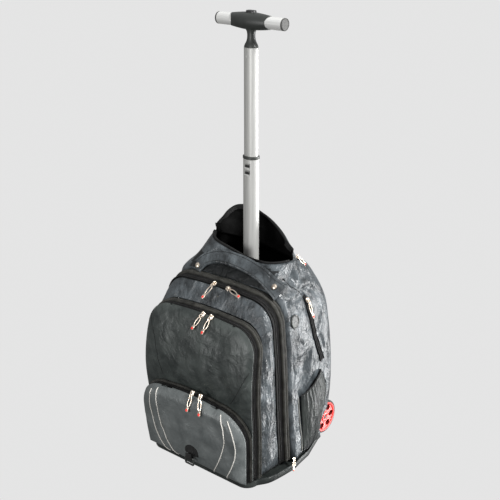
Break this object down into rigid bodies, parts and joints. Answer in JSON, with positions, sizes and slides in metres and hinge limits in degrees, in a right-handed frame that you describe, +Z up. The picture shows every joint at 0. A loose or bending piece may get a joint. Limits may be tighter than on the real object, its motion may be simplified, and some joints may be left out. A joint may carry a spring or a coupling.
{
  "type": "wheeled backpack",
  "caption": "Wheeled backpack with layered zip compartments, a soft hood at its mouth, carry handle, shoulder straps, telescopic pole with T handle and two wheels.",
  "frame": {"origin": "middle of the bounding box at floor level", "axes": "+Z up, the zipped front faces -Y, the shoulder straps +Y, +X is the wearer's left"},
  "size_m": [0.3638, 0.3853, 1.001],
  "materials": {
    "satin_cloth": "crinkled satin nylon",
    "charcoal_cloth": "dull woven nylon",
    "black_tape": "woven zip tape and webbing",
    "bound_edge": "ribbed binding tape",
    "reflective": "reflective piping",
    "aluminium": "satin anodised",
    "black_plastic": "fine moulded",
    "pull_metal": "polished pale gold",
    "wheel_red": "clear red moulded",
    "tyre_black": "plain tread"
  },
  "bodies": {
    "bag": {"back_pad": "charcoal_cloth", "base_tray": "charcoal_cloth", "carry_handle": "satin_cloth", "front_binding": "bound_edge", "front_compartment": "charcoal_cloth", "front_loop": "black_plastic", "front_tab": "black_tape", "front_zip": "black_tape", "grommet": "black_plastic", "guide_tube": "black_plastic", "hood": "satin_cloth", "hood_zip": "black_tape", "lower_pocket": "charcoal_cloth", "main_body": "satin_cloth", "middle_binding": "bound_edge", "middle_compartment": "satin_cloth", "middle_zip": "black_tape", "mouth_zip": "black_tape", "pocket_binding": "bound_edge", "pocket_piping_inner_left": "reflective", "pocket_piping_inner_right": "reflective", "pocket_piping_outer_left": "reflective", "pocket_piping_outer_right": "reflective", "pocket_zip": "black_tape", "pull_front_left": "pull_metal", "pull_front_right": "pull_metal", "pull_middle_left": "pull_metal", "pull_middle_right": "pull_metal", "pull_mouth": "pull_metal", "pull_pocket_left": "pull_metal", "pull_pocket_right": "pull_metal", "pull_side": "pull_metal", "rivet_left": "pull_metal", "rivet_right": "pull_metal", "shoulder_strap_left": "charcoal_cloth", "shoulder_strap_right": "charcoal_cloth", "side_piping_left": "reflective", "side_piping_right": "reflective", "side_pocket_left": "charcoal_cloth", "side_pocket_right": "charcoal_cloth", "side_zip": "black_tape", "wheel_housing_left": "black_plastic", "wheel_housing_right": "black_plastic"},
    "lower_stage": {"lower_tube": "aluminium", "collar": "black_plastic"},
    "upper_stage": {"upper_tube": "aluminium", "handle_hub": "black_plastic", "grip_left": "aluminium", "grip_right": "aluminium", "end_cap_left": "black_plastic", "end_cap_right": "black_plastic"},
    "button": {"push_button": "black_plastic"},
    "wheel_left": {"wheel_hub_left": "wheel_red", "tyre_left": "tyre_black"},
    "wheel_right": {"wheel_hub_right": "wheel_red", "tyre_right": "tyre_black"}
  },
  "joints": [
    {"name": "lower_stage_slide", "type": "slide", "parent": "bag", "child": "lower_stage", "axis": [0, 0, 1], "range_m": [-0.21, 0]},
    {"name": "upper_stage_slide", "type": "slide", "parent": "lower_stage", "child": "upper_stage", "axis": [0, 0, 1], "range_m": [-0.24, 0]},
    {"name": "button_press", "type": "slide", "parent": "upper_stage", "child": "button", "axis": [0, 0, 1], "range_m": [-0.003, 0], "stiffness_N_per_m": 400, "springref_m": 0.002},
    {"name": "wheel_left_spin", "type": "hinge", "parent": "bag", "child": "wheel_left", "pos_m": [0.136, 0.1518, 0.0415], "axis": [1, 0, 0], "continuous": true},
    {"name": "wheel_right_spin", "type": "hinge", "parent": "bag", "child": "wheel_right", "pos_m": [-0.136, 0.1518, 0.0415], "axis": [1, 0, 0], "continuous": true}
  ]
}
